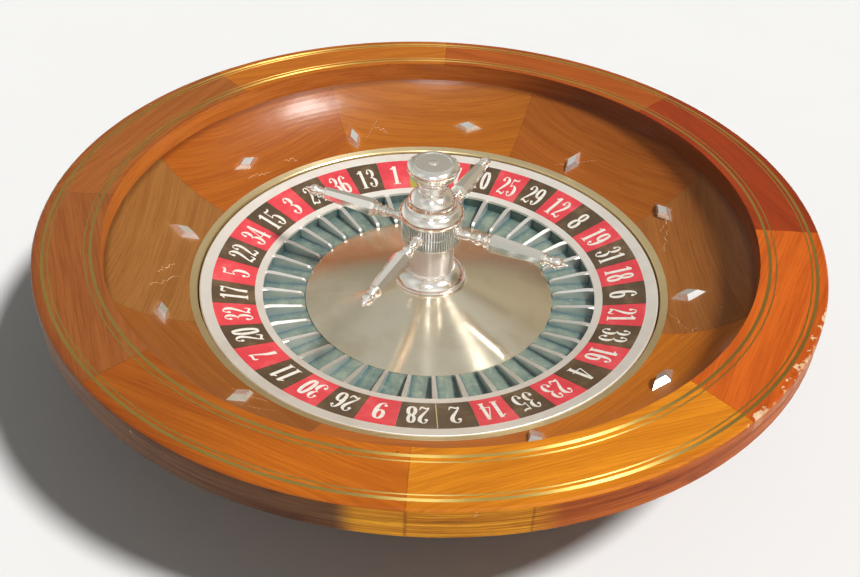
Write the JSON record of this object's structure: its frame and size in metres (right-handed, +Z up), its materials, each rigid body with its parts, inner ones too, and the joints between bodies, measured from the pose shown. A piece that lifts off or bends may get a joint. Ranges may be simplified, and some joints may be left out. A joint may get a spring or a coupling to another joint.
{
  "type": "roulette wheel",
  "caption": "Full-size casino roulette wheel: veneered wooden bowl with diamond deflectors, and a free-spinning rotor with numbered pockets, nickel cone and four-armed turret.",
  "frame": {"origin": "centre of the wheel's axis at the level of the table it stands on", "axes": "+Z up along the spindle; +Y towards the back, where the zero pocket lies; +X to the right"},
  "size_m": [0.813, 0.813, 0.2371],
  "materials": {
    "turned_wood": "satin varnish over dark turned hardwood",
    "apron_veneer": "gloss varnish over matched veneer",
    "wall_veneer": "gloss varnish over dark veneer",
    "rim_veneer": "gloss varnish over mitred veneer",
    "inlay_brass": "aged brass under varnish",
    "ring_brass": "polished",
    "screw_brass": "plain",
    "board": "sealed plywood",
    "foot_rubber": "matt black",
    "deflector_nickel": "polished nickel",
    "bearing_steel": "ground",
    "pocket_enamel": "gloss blue-green",
    "fret_nickel": "polished nickel",
    "ring_nickel": "polished nickel with fine scratches",
    "red_enamel": "gloss red lacquer",
    "black_enamel": "gloss black lacquer",
    "green_enamel": "gloss green lacquer",
    "cone_nickel": "spun and polished nickel",
    "turret_nickel": "polished nickel"
  },
  "bodies": {
    "bowl": {"bowl_body": "turned_wood", "rim_frame": "turned_wood", "apron": "apron_veneer", "track_wall": "wall_veneer", "rim_top": "rim_veneer", "rim_skirt": "turned_wood", "inlay_outer_broad": "inlay_brass", "inlay_outer_fine": "inlay_brass", "inlay_inner_fine": "inlay_brass", "inlay_inner_broad": "inlay_brass", "stator_ring": "ring_brass", "base_drum": "turned_wood", "base_board": "board", "base_screws": "screw_brass", "foot_1": "foot_rubber", "foot_2": "foot_rubber", "foot_3": "foot_rubber", "deflector_01": "deflector_nickel", "deflector_02": "deflector_nickel", "deflector_03": "deflector_nickel", "deflector_04": "deflector_nickel", "deflector_05": "deflector_nickel", "deflector_06": "deflector_nickel", "deflector_07": "deflector_nickel", "deflector_08": "deflector_nickel", "deflector_09": "deflector_nickel", "deflector_10": "deflector_nickel", "deflector_11": "deflector_nickel", "deflector_12": "deflector_nickel", "deflector_pins": "screw_brass", "spindle": "bearing_steel", "spindle_bolts": "bearing_steel", "spindle_nut": "bearing_steel", "lower_inner_race": "bearing_steel", "upper_inner_race": "bearing_steel"},
    "rotor": {"lower_outer_race": "bearing_steel", "upper_outer_race": "bearing_steel", "lower_ball_set": "bearing_steel", "upper_ball_set": "bearing_steel", "rotor_hub": "ring_brass", "hub_screws": "bearing_steel", "rotor_disc": "board", "rotor_rim": "board", "pocket_floor": "pocket_enamel", "pocket_wall": "pocket_enamel", "frets": "fret_nickel", "number_ring": "ring_nickel", "plates_red": "red_enamel", "plates_black": "black_enamel", "plate_zero": "green_enamel", "cone": "cone_nickel", "turret_base": "turret_nickel", "turret_column": "turret_nickel", "turret_collar": "turret_nickel", "arm_1": "turret_nickel", "arm_2": "turret_nickel", "arm_3": "turret_nickel", "arm_4": "turret_nickel", "turret_dome": "turret_nickel", "turret_knob": "turret_nickel"}
  },
  "joints": [
    {"name": "rotor_spin", "type": "hinge", "parent": "bowl", "child": "rotor", "pos_m": [0, 0, 0.092], "axis": [0, 0, 1], "continuous": true}
  ]
}
